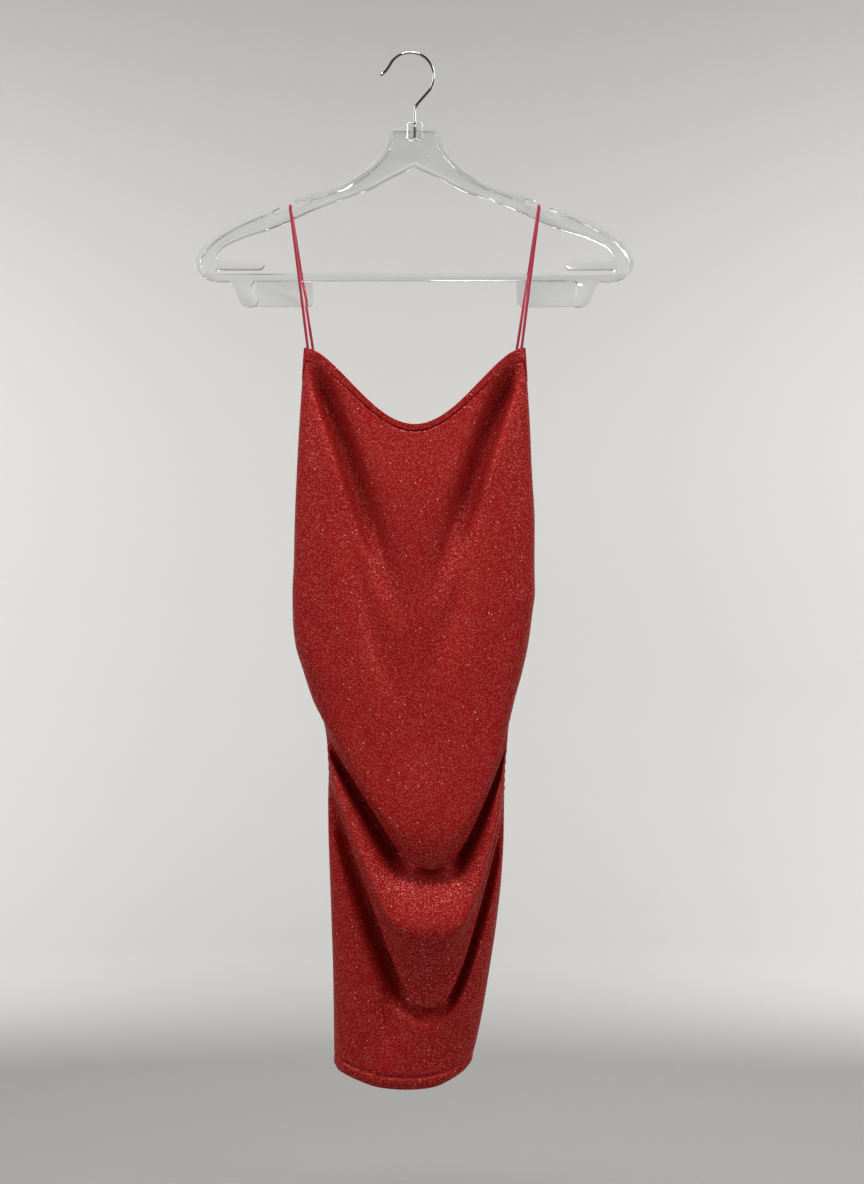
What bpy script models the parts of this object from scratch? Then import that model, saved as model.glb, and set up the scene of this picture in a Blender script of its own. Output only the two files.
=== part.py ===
"""A ruched slip mini dress on a clear moulded hanger.

Metres, +Z up. The origin is the inner crest of the hanger's hook, +X runs to the wearer's left,
which is the viewer's right, and the front of the dress faces -Y. Sizes below are in millimetres,
and heights are given as distances below the hook's crest.
"""

import math
from collections import namedtuple

import bmesh
import bpy
import numpy as np

MM = 0.001

# Cloth and seams
CLOTH = 1.2
TURNED_CLOTH = 2.0
BAND_CLOTH = 2.0
BAND_PROUD = 0.3
GAP = 0.3
SEAM_GAP = 0.5

# Faces across the neck and along each armhole of the front and of the back, and the share of
# them that is spread by arc and not by width
NECK_COLUMNS = {"front": 36, "back": 22}
ARM_COLUMNS = {"front": 4, "back": 5}
SPREAD_BY_ARC = 0.65

# Roundness of the tube's section at its sides: 1 is an ellipse, less is boxier
SIDE_FULLNESS = 0.7

# Hanger
HANGER_X = 4.2
HANGER_DEPTH = 8.0
WEB = 2.4
HOOK_WIRE = 2.8
HOOK_INSIDE_RADIUS = 21.5
HOOK_STEM_END = 83.0
SOCKET_CLEARANCE = 0.3
TAB_THICKNESS = 2.2

# Straps
STRAP = 3.0
STRAP_OUT = 121.5
STRAP_SEAT_INSET = {"front": 8.0, "back": 4.0}

# Outline of the tube seen from the front, where its two side seams run
Side = namedtuple("Side", "below left right")
SIDES = (
    Side(285, -102.5, 111.0),
    Side(313, -105.2, 113.6),
    Side(360, -108.6, 116.8),
    Side(410, -111.3, 119.0),
    Side(460, -113.3, 121.6),
    Side(500, -114.2, 121.4),
    Side(526, -115.4, 121.8),
    Side(550, -115.2, 119.0),
    Side(575, -113.0, 115.7),
    Side(605, -104.4, 109.2),
    Side(632, -95.2, 101.6),
    Side(656, -84.2, 96.4),
    Side(678, -81.4, 94.4),
    Side(700, -80.0, 92.4),
    Side(730, -80.7, 91.6),
    Side(760, -80.4, 91.4),
    Side(800, -79.0, 89.4),
    Side(846, -77.4, 84.6),
    Side(896, -75.8, 77.2),
    Side(946, -75.0, 68.6),
    Side(991, -74.6, 58.2),
)

# Top edges, from corner to corner of the neck and round the armholes to the side seams
Edge = namedtuple("Edge", "corner_angle corner middle seam")
FRONT_EDGE = Edge(80.0, 289.0, 365.5, 313.0)
FRONT_BAND = Edge(74.0, 302.0, 371.5, 321.5)
BACK_EDGE = Edge(69.0, 296.0, 376.0, 313.0)
BACK_BAND = Edge(63.0, 306.5, 382.5, 321.5)

# Rows of the front below its bands. left, right and middle say how far below the hook the row
# meets each side seam and the middle, across where that middle lies, flat what share of it is
# level, bowl how round it is against a plain vee, out how far forward it stands, tuck_side and
# tuck_middle what share of that is pushed back in, and steps how many faces lead down to it.
Row = namedtuple(
    "Row", "name left right middle across flat bowl out tuck_side tuck_middle steps"
)
FRONT_ROWS = (
    Row("bust", 366, 366, 428, 5, 0.20, 1.00, 40, 0.00, 0.00, 6),
    Row("waist", 455, 455, 538, 7, 0.20, 0.80, 46, 0.00, 0.00, 6),
    Row("hip", 570, 566, 662, 12, 0.22, 0.45, 56, 0.00, 0.00, 4),
    Row("upper swag crest", 650, 644, 757, 19, 0.36, 0.00, 69, 0.00, 0.00, 4),
    Row("upper swag lip", 655, 649, 790, 20, 0.20, 0.00, 63, 0.12, 0.06, 2),
    Row("upper swag tuck", 672, 664, 790, 20, 0.30, 0.00, 60, 0.58, 0.26, 2),
    Row("lower swag face", 684, 692, 814, 19, 0.38, 0.00, 64, 0.10, 0.08, 2),
    Row("lower swag crest", 697, 716, 850, 19, 0.42, 0.00, 72, 0.00, 0.00, 2),
    Row("lower swag lip", 701, 720, 923, 19, 0.20, 0.00, 52, 0.06, 0.02, 3),
    Row("lower swag tuck", 730, 752, 926, 18, 0.30, 0.00, 50, 0.52, 0.24, 2),
    Row("skirt", 800, 812, 946, 12, 0.42, 0.30, 47, 0.04, 0.02, 3),
    Row("hem line", 978, 976, 991.5, -2, 0.48, 0.30, 45, 0.00, 0.00, 4),
    Row("hem", 990.5, 988.5, 1004, -3, 0.48, 0.30, 44, 0.00, 0.00, 1),
)
BACK_ROWS = (
    Row("shoulder blade", 380, 380, 432, 5, 0.20, 1.00, 26, 0.00, 0.00, 3),
    Row("back waist", 470, 470, 512, 5, 0.20, 1.00, 30, 0.06, 0.10, 3),
    Row("seat", 590, 586, 640, 5, 0.20, 1.00, 35, 0.00, 0.00, 3),
    Row("upper back crest", 652, 646, 716, 7, 0.25, 0.60, 36, 0.00, 0.00, 2),
    Row("upper back tuck", 670, 664, 730, 7, 0.25, 0.60, 34, 0.30, 0.16, 2),
    Row("lower back crest", 698, 718, 786, 6, 0.25, 0.60, 35, 0.00, 0.00, 2),
    Row("lower back tuck", 728, 742, 800, 6, 0.25, 0.60, 33, 0.30, 0.16, 2),
    Row("back skirt", 800, 804, 862, 4, 0.25, 1.00, 32, 0.00, 0.00, 2),
    Row("back hem line", 978, 976, 984, -5, 0.20, 1.00, 30, 0.00, 0.00, 4),
    Row("back hem", 990.5, 988.5, 996, -6, 0.20, 1.00, 30, 0.00, 0.00, 1),
)
BAND_STEPS = 2
NECK_OUT = {"front": 34.0, "back": 22.0}

# Soft valleys that run in from the strap corners, seen from the front
Valley = namedtuple("Valley", "side top_x top low_x low depth top_width low_width")
VALLEYS = (
    Valley("front", -97, 296, -12, 575, 15.0, 9.0, 16.0),
    Valley("front", 104, 296, 24, 555, 16.0, 9.0, 15.0),
    Valley("front", 3, 560, 6, 740, 3.0, 12.0, 18.0),
    Valley("front", -24, 900, -18, 990, 4.0, 10.0, 12.0),
    Valley("back", -88, 305, -22, 540, 7.0, 8.0, 15.0),
    Valley("back", 98, 305, 34, 530, 6.0, 8.0, 15.0),
)
VALLEY_BEND = 1.25

# The strap slot's floor, from its inner end to its outer end, as (across, below)
SLOT_FLOOR = ((107.4, 146.2), (137.4, 158.2))

# Half outlines of the hanger, as runs of points joined by straight lines. A point is its distance
# across from the hanger's middle and its distance below the hook, and each run is a smooth curve.
HANGER_EDGE = (
    ((0, 72.5), (20.5, 72.5)),
    ((20.5, 72.5), (23.6, 73.6), (24.8, 76.5)),
    ((24.8, 76.5), (27.4, 90.2), (36.3, 101.9), (48, 113.7), (65.7, 125.4)),
    ((65.7, 125.4), (76.8, 130.2), (89.2, 134.3), (105.8, 138.2)),
    ((117.2, 142.0), (118.1, 144.1), (116.2, 145.5)),
    ((108.6, 142.8), (106.9, 144.2), SLOT_FLOOR[0]),
    (SLOT_FLOOR[1], (139.6, 157.3), (139.2, 154.9)),
    ((134.2, 152.4), (132.8, 151.2), (133.8, 149.8)),
    ((146.3, 153.5), (170.5, 163.7), (185.2, 171.5), (200.3, 182), (210.7, 194), (214.6, 204.5)),
    ((214.6, 204.5), (212.3, 213.4), (204.8, 220.2), (193, 223.6), (182.3, 223.3)),
    ((180.8, 223.3), (174.8, 234.2), (170.5, 245), (162.7, 248.4), (155.3, 246.5), (153, 240.5)),
    ((153, 240.5), (159, 234.5), (159.7, 227), (156.8, 222.5)),
    ((150, 222.5), (0, 222.5)),
)
HANGER_GAP = (
    ((0, 110.7), (24.5, 122), (48, 134.8), (74.5, 143)),
    ((74.5, 143), (103.9, 154.8), (136.2, 169.5), (165.6, 178.9)),
    ((165.6, 178.9), (186.2, 188.2), (193.6, 195.5), (193.4, 202.9)),
    ((151, 202.9), (147.2, 207.3), (151, 211.7)),
    ((193, 211.7), (195, 213.6), (193, 215.6)),
    ((150, 215.6), (0, 215.6)),
)
NECK_POCKET = (
    ((0, 88), (17, 88)),
    ((17, 88), (22.5, 92), (32.5, 105.2), (45.5, 118), (64, 129.9), (87.5, 139), (101, 142.6)),
    ((102.6, 146.4), (100.5, 150)),
    ((100.5, 150), (75.5, 139.8), (49.3, 131.6), (26, 118.9), (0, 106.5)),
)
ARM_POCKET = (
    ((145, 158), (168.8, 168), (182.8, 175.6), (196.8, 185.2), (206.2, 196.2), (210, 205)),
    ((210, 205), (208.2, 212), (203, 214), (199, 208), (197.6, 200.5), (196.4, 194)),
    ((196.4, 194), (187.5, 185.2), (166.6, 175.8), (145, 168.2)),
)

# The thin tabs under the bar
TAB_ACROSS = (100.0, 157.0)
TAB_BELOW = (220.0, 248.0)
TAB_CORNER = 4.0

# Points added between each two of a curved run
CURVE_POINTS = 2


def clear_scene():
    for old in list(bpy.data.objects):
        bpy.data.objects.remove(old, do_unlink=True)


def make_collection(name):
    collection = bpy.data.collections.new(name)
    bpy.context.scene.collection.children.link(collection)
    return collection


def make_material(name, colour, roughness, metallic=0.0, transmission=0.0):
    material = bpy.data.materials.new(name)
    material.use_nodes = True
    shader = material.node_tree.nodes["Principled BSDF"]
    shader.inputs["Base Color"].default_value = (*colour, 1.0)
    shader.inputs["Roughness"].default_value = roughness
    shader.inputs["Metallic"].default_value = metallic
    shader.inputs["Transmission Weight"].default_value = transmission
    return material


def smooth_between(knots, values, at):
    """The values at each place in at, on a smooth curve through the knots with no overshoot."""
    values = np.asarray(values, float)
    across = (-1,) + (1,) * (values.ndim - 1)
    span = np.diff(np.asarray(knots, float)).reshape(across)
    slope = np.diff(values, axis=0) / span
    tangent = np.zeros_like(values)
    tangent[0] = slope[0]
    tangent[-1] = slope[-1]
    before, after = slope[:-1], slope[1:]
    agree = before * after > 0
    weight_before = 2 * span[1:] + span[:-1]
    weight_after = span[1:] + 2 * span[:-1]
    mean = weight_before / np.where(agree, before, 1) + weight_after / np.where(agree, after, 1)
    tangent[1:-1] = np.where(agree, (weight_before + weight_after) / np.where(agree, mean, 1), 0)
    low = np.clip(np.searchsorted(knots, at, side="right") - 1, 0, len(span) - 1)
    width = span[low]
    t = (np.asarray(at, float) - np.asarray(knots, float)[low]).reshape(across) / width
    return (
        (1 + 2 * t) * (1 - t) ** 2 * values[low]
        + t * (1 - t) ** 2 * width * tangent[low]
        + t**2 * (3 - 2 * t) * values[low + 1]
        + t**2 * (t - 1) * width * tangent[low + 1]
    )


def ease(low, high, value):
    """0 below low, 1 above high and a soft step between them."""
    t = np.clip((value - low) / (high - low), 0, 1)
    return t * t * (3 - 2 * t)


def side_at(below, column):
    heights = [side.below for side in SIDES]
    widths = [getattr(side, column) for side in SIDES]
    return smooth_between(heights, widths, np.clip(below, heights[0], heights[-1]))


def bowl_profile(share):
    """How far down a bowl-shaped row has sunk: 1 in the middle and 0 at its ends."""
    return ((1 + np.cos(math.pi * np.clip(share, 0, 1))) / 2) ** 0.8


def vee_profile(share, flat):
    """The same for a vee with a level bottom, its corners rounded."""
    softness = 0.13

    def rise(t):
        return ((t - flat) + np.sqrt((t - flat) ** 2 + softness**2)) / 2

    return 1 - (rise(share) - rise(0.0)) / (rise(1.0) - rise(0.0))


def edge_heights(edge, angles):
    """Heights along a top edge: the neck between its corners, then the armholes."""
    corner = math.radians(edge.corner_angle)
    neck = edge.corner + (edge.middle - edge.corner) * bowl_profile(
        np.sin(np.abs(angles)) / math.sin(corner)
    )
    past = np.clip((np.abs(angles) - corner) / (math.pi / 2 - corner), 0, 1)
    armhole = edge.corner + (edge.seam - edge.corner) * past**0.8
    return np.where(np.abs(angles) > corner, armhole, neck)


def row_heights(row, angles):
    share = np.abs(np.sin(angles))
    profile = row.bowl * bowl_profile(share) + (1 - row.bowl) * vee_profile(share, row.flat)
    seam = row.left + (row.right - row.left) * (np.sin(angles) + 1) / 2
    return seam + (row.middle - seam) * profile


def row_reach(row, angles):
    """How far a row stands out from the plane of the side seams."""
    middle = 1 - ease(0.15, 0.45, np.abs(np.sin(angles)))
    tuck = row.tuck_side + (row.tuck_middle - row.tuck_side) * middle
    return row.out * np.cos(angles) ** SIDE_FULLNESS * (1 - tuck)


def valley_depth(side, across, below):
    total = np.zeros_like(across)
    for valley in VALLEYS:
        if valley.side != side:
            continue
        down = np.clip((below - valley.top) / (valley.low - valley.top), 0, 1)
        line = valley.low_x + (valley.top_x - valley.low_x) * (1 - down) ** VALLEY_BEND
        width = valley.top_width + (valley.low_width - valley.top_width) * down
        depth = valley.depth * ease(-0.12, 0.32, down) * (1 - ease(0.55, 1.0, down))
        total += depth * np.exp(-(((across - line) / width) ** 2))
    return total


class Half:
    """The front or the back of the tube, as a surface over its rows and the angle round it."""

    def __init__(self, side):
        self.side = side
        self.facing = -1 if side == "front" else 1
        self.rows = FRONT_ROWS if side == "front" else BACK_ROWS
        self.edge = FRONT_EDGE if side == "front" else BACK_EDGE
        self.band = FRONT_BAND if side == "front" else BACK_BAND
        steps = [0, BAND_STEPS] + [row.steps for row in self.rows]
        self.knots = np.cumsum(steps)
        self.last = int(self.knots[-1])

    def column(self, name, edge_value, band_value):
        return [edge_value, band_value] + [getattr(row, name) for row in self.rows]

    def points(self, levels, angles):
        """Millimetre positions, one row for each level and one column for each angle."""
        angles = np.asarray(angles, float)
        seams = (self.edge.seam, self.band.seam)
        heights = [edge_heights(self.edge, angles), edge_heights(self.band, angles)]
        heights += [row_heights(row, angles) for row in self.rows]
        reach = [NECK_OUT[self.side] * np.cos(angles) ** SIDE_FULLNESS] * 2
        reach += [row_reach(row, angles) for row in self.rows]
        below = smooth_between(self.knots, heights, levels)
        out = smooth_between(self.knots, reach, levels)
        left = side_at(smooth_between(self.knots, self.column("left", *seams), levels), "left")
        right = side_at(smooth_between(self.knots, self.column("right", *seams), levels), "right")
        lean = smooth_between(self.knots, self.column("across", 4.5, 4.5), levels)
        middle, half = (left + right) / 2, (right - left) / 2
        across = middle[:, None] + half[:, None] * np.sin(angles)
        across += (lean - middle)[:, None] * np.cos(angles) ** 2
        out = out - valley_depth(self.side, across, below) * np.minimum(1, np.cos(angles) * 3)
        out = np.maximum(out, SEAM_GAP / 2)
        return np.stack([across, self.facing * out, -below], axis=2)

    def normals(self, levels, angles):
        """Unit directions out of the cloth at the same places."""
        levels, angles = np.asarray(levels, float), np.asarray(angles, float)
        quarter = math.pi / 2
        step, turn = 0.02, 0.004
        lower = self.points(np.minimum(levels + step, self.last), angles)
        upper = self.points(np.maximum(levels - step, 0), angles)
        right = self.points(levels, np.minimum(angles + turn, quarter))
        left = self.points(levels, np.maximum(angles - turn, -quarter))
        out = np.cross(right - left, upper - lower) * -self.facing
        return out / np.linalg.norm(out, axis=2)[:, :, None]


FRONT = Half("front")
BACK = Half("back")


def angles_between(start, end, count):
    """Angles in radians whose places run evenly, partly by width and partly by arc."""
    fine = np.radians(np.linspace(start, end, 400))
    place = SPREAD_BY_ARC * fine / (math.pi / 2) + (1 - SPREAD_BY_ARC) * np.sin(fine)
    order = np.argsort(place)
    wanted = np.linspace(place[0], place[-1], count + 1)
    return np.interp(wanted, place[order], fine[order])


def pull_in(surface, edge, gap):
    """Moves one edge of a surface back over the surface, to leave a gap at a seam."""
    points, normals = surface
    if edge in ("first column", "last column"):
        points, normals = points.swapaxes(0, 1), normals.swapaxes(0, 1)
    if edge in ("last row", "last column"):
        points, normals = points[::-1], normals[::-1]
    along = np.gradient(points[0], axis=0)
    inward = np.cross(along, normals[0])
    inward /= np.linalg.norm(inward, axis=1)[:, None]
    inward *= np.sign(np.sum(inward * (points[1] - points[0]), axis=1))[:, None]
    points[0] += inward * gap


def make_sheet(name, surface, material, thickness, proud=0.0, turned_rows=0):
    """A wall of cloth under a grid of outer points, whose rows run down and whose columns run to
    the right as seen from outside. The last turned_rows rows are a turn-up of double cloth."""
    points, normals = surface
    rows, columns = points.shape[:2]
    thickness = np.full(rows, thickness)
    if turned_rows:
        thickness[-turned_rows:] = TURNED_CLOTH
    outer = points + normals * proud
    inner = outer - normals * thickness[:, None, None]
    bm = bmesh.new()
    bmesh.ops.create_grid(bm, x_segments=columns - 1, y_segments=rows - 1, size=1.0)
    places = {}
    for vert in bm.verts:
        column = round((vert.co.x + 1) / 2 * (columns - 1))
        row = rows - 1 - round((vert.co.y + 1) / 2 * (rows - 1))
        places[vert.co.copy().freeze()] = (row, column)
    made = bmesh.ops.extrude_face_region(bm, geom=bm.faces[:])
    copies = {item for item in made["geom"] if isinstance(item, bmesh.types.BMVert)}
    for vert in bm.verts:
        place = places[vert.co.copy().freeze()]
        vert.co = (inner if vert in copies else outer)[place] * MM
    bmesh.ops.recalc_face_normals(bm, faces=bm.faces)
    mesh = bpy.data.meshes.new(name)
    bm.to_mesh(mesh)
    bm.free()
    mesh.materials.append(material)
    mesh.shade_smooth()
    mesh.set_sharp_from_angle(angle=math.radians(50))
    sheet = bpy.data.objects.new(name, mesh)
    PIECES.objects.link(sheet)
    return sheet


def neck_angles(half):
    corner = half.edge.corner_angle
    return angles_between(-corner, corner, NECK_COLUMNS[half.side])


def arm_angles(half):
    return angles_between(half.edge.corner_angle, 90, ARM_COLUMNS[half.side])


def surface_of(half, levels, angles):
    """The outer points of a stretch of one half and the directions out of it, seen from outside."""
    points, normals = half.points(levels, angles), half.normals(levels, angles)
    if half.side == "back":
        points, normals = points[:, ::-1], normals[:, ::-1]
    return points.copy(), normals.copy()


def make_panel(half, material):
    levels = np.arange(BAND_STEPS, half.last + 1)
    arm = arm_angles(half)[1:]
    angles = np.concatenate([-arm[::-1], neck_angles(half), arm])
    surface = surface_of(half, levels, angles)
    pull_in(surface, "first row", SEAM_GAP)
    make_sheet(f"{half.side}_panel", surface, material, CLOTH, turned_rows=2)


def make_neck_band(half, material):
    surface = surface_of(half, np.arange(BAND_STEPS + 1), neck_angles(half))
    pull_in(surface, "first column", GAP / 2)
    pull_in(surface, "last column", GAP / 2)
    make_sheet(f"{half.side}_neck_band", surface, material, BAND_CLOTH, BAND_PROUD)


def make_armhole_band(name, facing, material):
    """The strip round one armhole, from the front corner over the side seam to the back one."""
    levels = np.arange(BAND_STEPS + 1)
    front = arm_angles(FRONT) * facing
    back = arm_angles(BACK)[::-1] * facing
    points = np.concatenate(
        [FRONT.points(levels, front)[:, :-1], BACK.points(levels, back)[:, 1:]], axis=1
    )
    normals = np.concatenate(
        [FRONT.normals(levels, front)[:, :-1], BACK.normals(levels, back)[:, 1:]], axis=1
    )
    if facing < 0:
        points, normals = points[:, ::-1].copy(), normals[:, ::-1].copy()
    surface = (points, normals)
    pull_in(surface, "first column", GAP / 2)
    pull_in(surface, "last column", GAP / 2)
    make_sheet(name, surface, material, BAND_CLOTH, BAND_PROUD)


def make_dress(knit):
    make_panel(FRONT, knit)
    make_panel(BACK, knit)
    make_neck_band(FRONT, knit)
    make_neck_band(BACK, knit)
    make_armhole_band("armhole_band_left", -1, knit)
    make_armhole_band("armhole_band_right", 1, knit)


def make_tube(name, route, diameter, material):
    """A round cord or wire along a list of millimetre points."""
    curve = bpy.data.curves.new(name, "CURVE")
    curve.dimensions = "3D"
    curve.bevel_depth = diameter / 2 * MM
    curve.bevel_resolution = 2
    curve.use_fill_caps = True
    spline = curve.splines.new("POLY")
    spline.points.add(len(route) - 1)
    for point, (x, y, z) in zip(spline.points, route):
        point.co = (x * MM, y * MM, z * MM, 1)
    curve.materials.append(material)
    tube = bpy.data.objects.new(name, curve)
    PIECES.objects.link(tube)
    return tube


def slot_floor(across):
    """How far below the hook the strap slot's floor lies there."""
    start, end = SLOT_FLOOR
    share = (across - start[0]) / (end[0] - start[0])
    return start[1] + (end[1] - start[1]) * share


def make_strap(name, facing, satin):
    """One strap: up from the front corner, over its slot in the hanger and down to the back."""
    x = HANGER_X + facing * STRAP_OUT
    lift = (STRAP / 2 + GAP) / math.cos(math.radians(22))
    corner_y = HANGER_DEPTH / 2
    corner_z = -slot_floor(STRAP_OUT)
    ends = []
    for half in (FRONT, BACK):
        seat = half.edge.corner_angle - STRAP_SEAT_INSET[half.side]
        end = half.points([0], np.radians([facing * seat]))[0, 0]
        end[1] -= half.facing * BAND_CLOTH / 3
        end[2] += GAP + 0.4
        ends.append(end)
    turns = 5
    over = []
    for step in range(turns + 1):
        angle = math.pi / 2 * step / turns
        over.append((x, -corner_y - lift * math.cos(angle), corner_z + lift * math.sin(angle)))
    back_over = [(x, -y, z) for x, y, z in reversed(over)]
    return make_tube(name, [ends[0], *over, *back_over, ends[1]], STRAP, satin)


def make_hook(chrome):
    """A wire hook: a stem out of the neck, a slanting shank, most of a circle and a flared tip."""
    radius = HOOK_INSIDE_RADIUS + HOOK_WIRE / 2
    route = [(HANGER_X, -HOOK_STEM_END), (HANGER_X, -56.5), (HANGER_X + 0.4, -53.2), (6.6, -49.4)]
    route += [(17.4, -37.0), (19.6, -34.0)]
    for degrees in range(-25, 156, 12):
        angle = math.radians(degrees)
        route.append((radius * math.cos(angle), radius * math.sin(angle) - HOOK_INSIDE_RADIUS))
    route += [(-22.6, -14.6), (-24.6, -17.2), (-27.4, -19.4)]
    return make_tube("hanger_hook", [(x, 0, z) for x, z in route], HOOK_WIRE, chrome)


def smooth_run(run):
    """A run of points with CURVE_POINTS more between each two, on a curve through them."""
    points = [np.array(point, float) for point in run]
    if len(points) < 3:
        return points
    padded = [2 * points[0] - points[1], *points, 2 * points[-1] - points[-2]]
    result = []
    for a, b, c, d in zip(padded, padded[1:], padded[2:], padded[3:]):
        for step in range(CURVE_POINTS + 1):
            t = step / (CURVE_POINTS + 1)
            bend = (3 * b - a - 3 * c + d) * t**3 + (2 * a - 5 * b + 4 * c - d) * t**2
            result.append(b + (bend + (c - a) * t) / 2)
    return [*result, points[-1]]


def outline_of(runs, mirrored):
    """A closed outline from its runs. A mirrored one is the right half of a symmetric shape."""
    points = []
    for run in runs:
        for point in smooth_run(run):
            if not points or np.linalg.norm(point - points[-1]) > 0.05:
                points.append(point)
    if mirrored:
        points += [point * (-1, 1) for point in reversed(points) if point[0] > 0.05]
    return points


def make_plate(name, outlines, depth, collection):
    """A flat plate across the hanger's middle plane, with its first outline outside."""
    curve = bpy.data.curves.new(name, "CURVE")
    curve.dimensions = "2D"
    curve.fill_mode = "BOTH"
    curve.extrude = depth / 2 * MM
    for outline in outlines:
        spline = curve.splines.new("POLY")
        spline.points.add(len(outline) - 1)
        for point, (across, below) in zip(spline.points, outline):
            point.co = (across * MM, -below * MM, 0, 1)
        spline.use_cyclic_u = True
    flat = bpy.data.objects.new(name + " outline", curve)
    flat.rotation_euler = (math.pi / 2, 0, 0)
    flat.location = (HANGER_X * MM, 0, 0)
    collection.objects.link(flat)
    bpy.context.view_layer.update()
    graph = bpy.context.evaluated_depsgraph_get()
    mesh = bpy.data.meshes.new_from_object(flat.evaluated_get(graph))
    bm = bmesh.new()
    bm.from_mesh(mesh)
    bmesh.ops.remove_doubles(bm, verts=bm.verts, dist=1e-6)
    bmesh.ops.recalc_face_normals(bm, faces=bm.faces)
    bm.to_mesh(mesh)
    bm.free()
    plate = bpy.data.objects.new(name, mesh)
    plate.matrix_world = flat.matrix_world
    collection.objects.link(plate)
    bpy.data.objects.remove(flat, do_unlink=True)
    return plate


def hide_cutter(cutter):
    cutter.hide_render = True
    cutter.display_type = "WIRE"


def add_boolean(target, other, operation):
    boolean = target.modifiers.new(other.name, "BOOLEAN")
    boolean.operation = operation
    boolean.object = other
    hide_cutter(other)


def tab_outline(facing):
    """A thin tab under the bar, beside one foot, with its inner corners rounded."""
    (inner, outer), (top, low), corner = TAB_ACROSS, TAB_BELOW, TAB_CORNER
    points = [(outer, top), (outer, low), (inner + corner, low)]
    for degrees in (30, 60):
        angle = math.radians(degrees)
        rounded = (inner + corner * (1 - math.sin(angle)), low - corner * (1 - math.cos(angle)))
        points.append(rounded)
    points += [(inner, low - corner), (inner, top)]
    return [(facing * across, below) for across, below in points]


def make_hanger(clear_plastic, chrome):
    edge = outline_of(HANGER_EDGE, True)
    gap = outline_of(HANGER_GAP, True)
    body = make_plate("hanger_body", [edge, gap], HANGER_DEPTH, PIECES)
    body.data.materials.append(clear_plastic)
    pockets = [("neck pocket", outline_of(NECK_POCKET, True))]
    arm = outline_of(ARM_POCKET, False)
    pockets.append(("right arm pocket", arm))
    pockets.append(("left arm pocket", [point * (-1, 1) for point in arm]))
    recess = HANGER_DEPTH - WEB
    for name, outline in pockets:
        for face, toward in (("front", -1), ("back", 1)):
            cutter = make_plate(f"{name} {face}", [outline], recess, CUTTERS)
            cutter.location.y = toward * HANGER_DEPTH / 2 * MM
            add_boolean(body, cutter, "DIFFERENCE")
    for name, facing in (("left", -1), ("right", 1)):
        tab = make_plate(f"{name} tab", [tab_outline(facing)], TAB_THICKNESS, CUTTERS)
        add_boolean(body, tab, "UNION")
    bpy.ops.mesh.primitive_cylinder_add(
        vertices=16,
        radius=(HOOK_WIRE / 2 + SOCKET_CLEARANCE) * MM,
        depth=24 * MM,
        location=(HANGER_X * MM, 0, -(HOOK_STEM_END + GAP - 12) * MM),
    )
    socket = bpy.context.object
    socket.name = "hook socket"
    for owner in list(socket.users_collection):
        owner.objects.unlink(socket)
    CUTTERS.objects.link(socket)
    add_boolean(body, socket, "DIFFERENCE")
    make_hook(chrome)


clear_scene()
PIECES = make_collection("slip_dress_on_hanger")
CUTTERS = make_collection("hanger_cutters")
RED_KNIT = make_material("red glitter knit", (0.300, 0.010, 0.009), 0.62)
PINK_SATIN = make_material("crimson satin rouleau", (0.440, 0.026, 0.050), 0.38)
CLEAR_STYRENE = make_material("clear polystyrene", (0.92, 0.93, 0.93), 0.06, transmission=0.9)
BRIGHT_CHROME = make_material("bright chrome", (0.62, 0.62, 0.63), 0.10, metallic=1.0)

make_dress(RED_KNIT)
make_strap("strap_left", -1, PINK_SATIN)
make_strap("strap_right", 1, PINK_SATIN)
make_hanger(CLEAR_STYRENE, BRIGHT_CHROME)
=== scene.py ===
"""Looks of a ruched glitter-knit slip dress on a clear moulded hanger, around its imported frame.

Metres, +Z up. The origin is the inner crest of the hanger's hook, +X is the viewer's right and the
front of the dress faces -Y. The tables hold millimetres, and their heights are distances below the
hook's crest.
"""

import math
from collections import namedtuple

import bmesh
import bpy
import numpy as np
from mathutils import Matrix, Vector


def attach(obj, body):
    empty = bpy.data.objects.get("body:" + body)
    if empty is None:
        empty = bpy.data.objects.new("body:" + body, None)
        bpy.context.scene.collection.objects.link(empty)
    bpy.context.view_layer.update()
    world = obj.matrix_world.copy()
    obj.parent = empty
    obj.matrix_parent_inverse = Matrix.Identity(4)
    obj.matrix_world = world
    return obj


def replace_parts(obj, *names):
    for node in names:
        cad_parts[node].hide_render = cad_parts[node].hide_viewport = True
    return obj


bl_info = {
    "name": "Slip dress on a clear hanger",
    "version": (1, 0, 0),
    "blender": (4, 5, 0),
    "location": "3D View > Sidebar > Dress",
    "description": "Cloth, straps, hanger, hook and studio of a ruched slip dress",
    "category": "Add Mesh",
}

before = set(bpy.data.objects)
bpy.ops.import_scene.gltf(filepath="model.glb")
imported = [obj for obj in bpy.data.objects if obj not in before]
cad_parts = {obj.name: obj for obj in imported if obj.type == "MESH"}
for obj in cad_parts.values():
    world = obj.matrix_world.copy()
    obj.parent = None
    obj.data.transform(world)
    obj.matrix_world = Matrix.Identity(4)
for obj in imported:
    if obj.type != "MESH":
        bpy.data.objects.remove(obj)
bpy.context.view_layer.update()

MM = 0.001
QUARTER = math.pi / 2

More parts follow.
